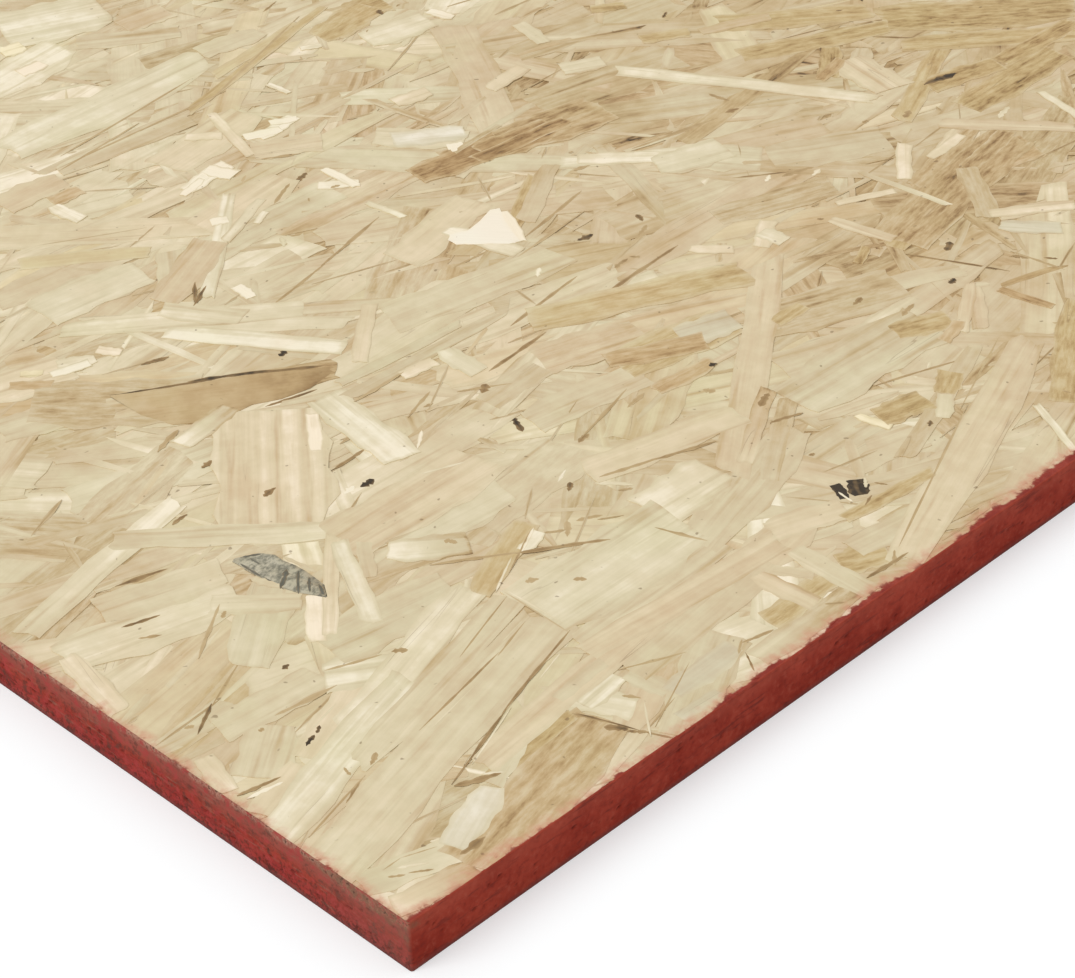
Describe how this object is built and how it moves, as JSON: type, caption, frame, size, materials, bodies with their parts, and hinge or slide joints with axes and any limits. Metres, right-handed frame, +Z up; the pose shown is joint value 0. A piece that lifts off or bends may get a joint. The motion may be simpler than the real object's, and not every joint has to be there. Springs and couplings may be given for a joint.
{
  "type": "osb panel",
  "caption": "Full-size square-edged oriented strand board sheet with pressed strand faces and red sealed edges, for decking, walls and formwork.",
  "frame": {"origin": "centre of the underside", "axes": "+X along the long side, which the face strands mostly follow; +Y along the short side; +Z up, out of the top face"},
  "size_m": [2.44, 1.22, 0.018],
  "materials": {
    "strand_wood": "pressed wood strands, satin, bare but for the resin",
    "sealed_edge": "matt red sealer soaked into the four sawn edges and a little way over the faces"
  },
  "bodies": {
    "root": {"osb_panel": "strand_wood"}
  },
  "joints": []
}
